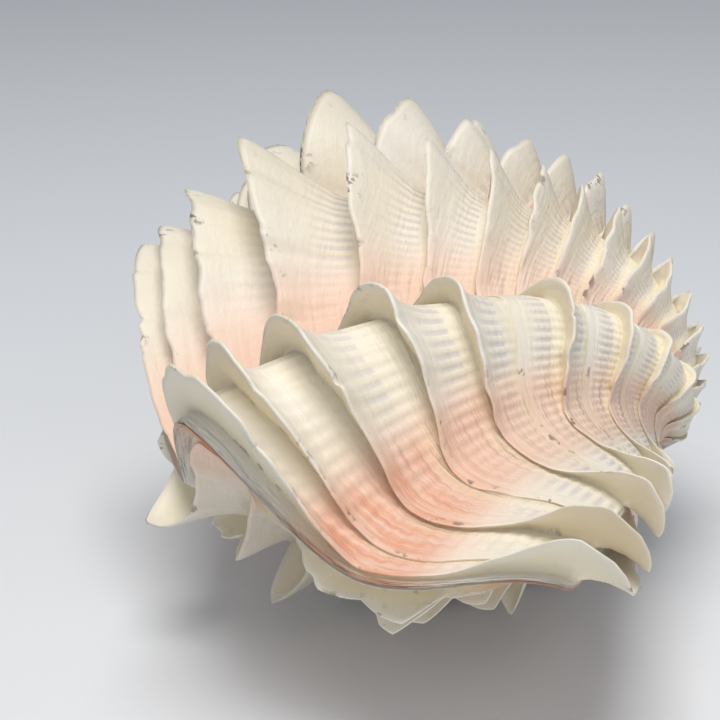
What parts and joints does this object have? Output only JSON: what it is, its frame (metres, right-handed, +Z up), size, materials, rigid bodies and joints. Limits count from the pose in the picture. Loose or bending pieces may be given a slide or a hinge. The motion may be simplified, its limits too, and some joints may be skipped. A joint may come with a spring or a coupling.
{
  "type": "fluted giant clam shell",
  "caption": "Closed giant clam shell: ribbed valves with rows of fluted scales, lying on its lower valve, for display on a shelf, table or tank floor.",
  "frame": {"origin": "middle of the shell's footprint on the surface it rests on", "axes": "+Z up, X along the hinge line with the near end of the picture at -X, +Y toward the ventral margin, which faces left in the picture"},
  "size_m": [0.1352, 0.0844, 0.0653],
  "materials": {
    "upper_shell": "matt to satin natural shell, creamy white with peach pink grooves and pale yellow hollows under the scales",
    "lower_shell": "matt to satin natural shell, creamy white with a grey shade and darker grooves"
  },
  "bodies": {
    "root": {"upper_valve": "upper_shell", "lower_valve": "lower_shell"}
  },
  "joints": []
}
